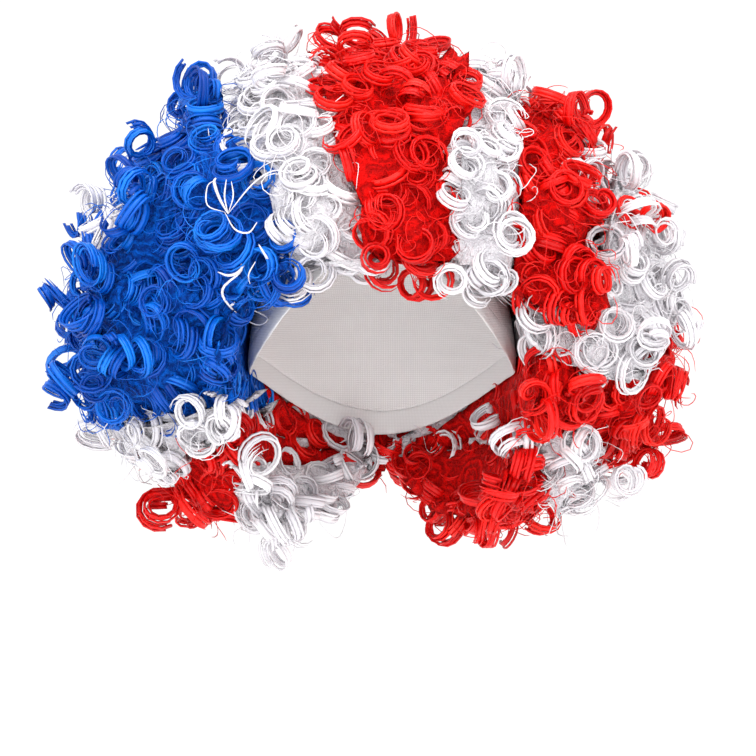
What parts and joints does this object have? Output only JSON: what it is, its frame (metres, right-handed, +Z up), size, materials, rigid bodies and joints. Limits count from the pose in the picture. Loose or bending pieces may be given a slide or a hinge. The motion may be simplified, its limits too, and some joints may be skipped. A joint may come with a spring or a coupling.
{
  "type": "clown wig",
  "caption": "Round curly costume wig in blue, white and red strips on a stretch cap, open over the face.",
  "frame": {"origin": "inside of the cap at the crown, where it rests on the top of the head", "axes": "+Z up, -Y forward out of the face opening, +X to the right as seen from the front"},
  "size_m": [0.3822, 0.3104, 0.31],
  "materials": {
    "cap_net": "matte",
    "elastic": "matte",
    "blue_fibre": "satin",
    "red_fibre": "satin",
    "white_fibre": "satin"
  },
  "bodies": {
    "root": {"cap_crown": "cap_net", "cap_band": "elastic", "hair_blue_side": "blue_fibre", "hair_red_top": "red_fibre", "hair_red_right": "red_fibre", "hair_white_front": "white_fibre", "hair_white_top": "white_fibre", "hair_white_right": "white_fibre", "hair_red_low_right": "red_fibre", "hair_red_neck_right": "red_fibre", "hair_white_low_right": "white_fibre", "hair_white_low_left": "white_fibre", "hair_red_low_left": "red_fibre", "hair_white_neck_left": "white_fibre", "hair_red_back": "red_fibre", "hair_white_back": "white_fibre", "hair_red_low_back": "red_fibre"}
  },
  "joints": []
}
